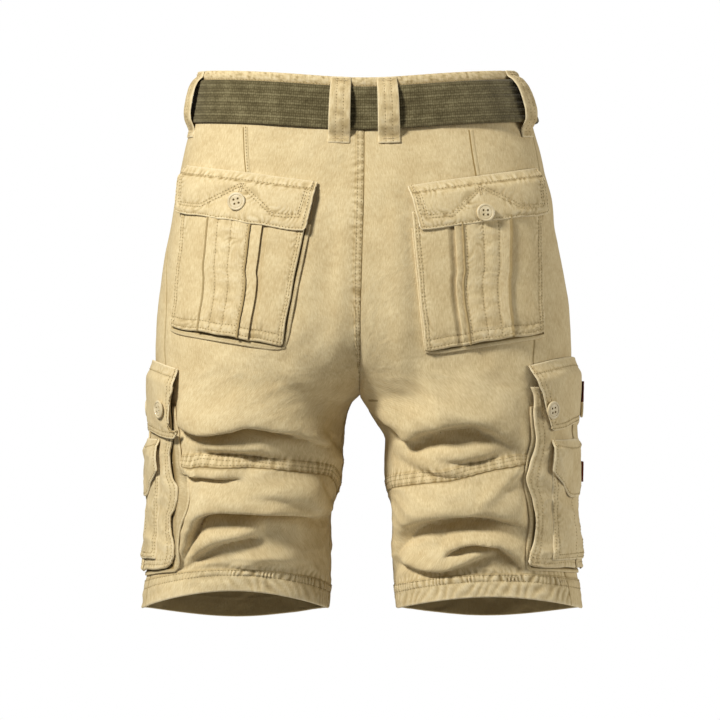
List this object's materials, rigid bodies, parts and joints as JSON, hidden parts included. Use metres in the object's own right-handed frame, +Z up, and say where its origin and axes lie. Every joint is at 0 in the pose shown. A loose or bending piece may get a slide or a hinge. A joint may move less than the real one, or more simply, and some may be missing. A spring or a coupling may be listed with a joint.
{
  "type": "cargo shorts with a webbing belt",
  "caption": "knee-length cotton cargo shorts with a webbing belt, flapped back and side pockets and a knee seam, filled out as if worn, with waist and hems open",
  "frame": {"origin": "the middle of the waistband's ring, at mid-height, where the wearer holds the garment up", "axes": "+Z up towards the waist, +Y to the back, +X to the wearer's left"},
  "size_m": [0.4401, 0.2573, 0.5476],
  "materials": {
    "twill": "garment-washed cotton twill, khaki",
    "webbing": "ribbed cotton webbing, olive",
    "button": "matt cast polyester, beige, four holes",
    "buckle_metal": "bronzed steel plate",
    "zip_tape": "woven zip tape",
    "zip_brass": "brushed brass",
    "tab": "plain woven tab, dark red"
  },
  "bodies": {
    "root": {"back_upper_left": "twill", "back_upper_right": "twill", "back_lower_left": "twill", "back_lower_right": "twill", "front_left": "twill", "front_right": "twill", "waistband": "twill", "belt": "webbing", "belt_buckle": "buckle_metal", "belt_loop_back_left": "twill", "belt_loop_back_right": "twill", "belt_loop_side_left": "twill", "belt_loop_side_right": "twill", "belt_loop_front_left": "twill", "belt_loop_front_right": "twill", "back_pocket_left": "twill", "back_pocket_right": "twill", "back_gusset_left": "twill", "back_gusset_right": "twill", "back_flap_left": "twill", "back_flap_right": "twill", "back_button_left": "button", "back_button_right": "button", "cargo_pocket_left": "twill", "cargo_pocket_right": "twill", "cargo_gusset_left": "twill", "cargo_gusset_right": "twill", "cargo_flap_left": "twill", "cargo_flap_right": "twill", "cargo_button_left": "button", "cargo_button_right": "button", "cargo_button_front_left": "button", "cargo_button_front_right": "button", "small_pocket_left": "twill", "small_pocket_right": "twill", "small_flap_left": "twill", "small_flap_right": "twill", "flap_tab": "tab", "small_flap_tab": "tab", "fly_placket": "twill", "zip_tape": "zip_tape", "zip_slider": "zip_brass", "waist_button": "button"}
  },
  "joints": []
}
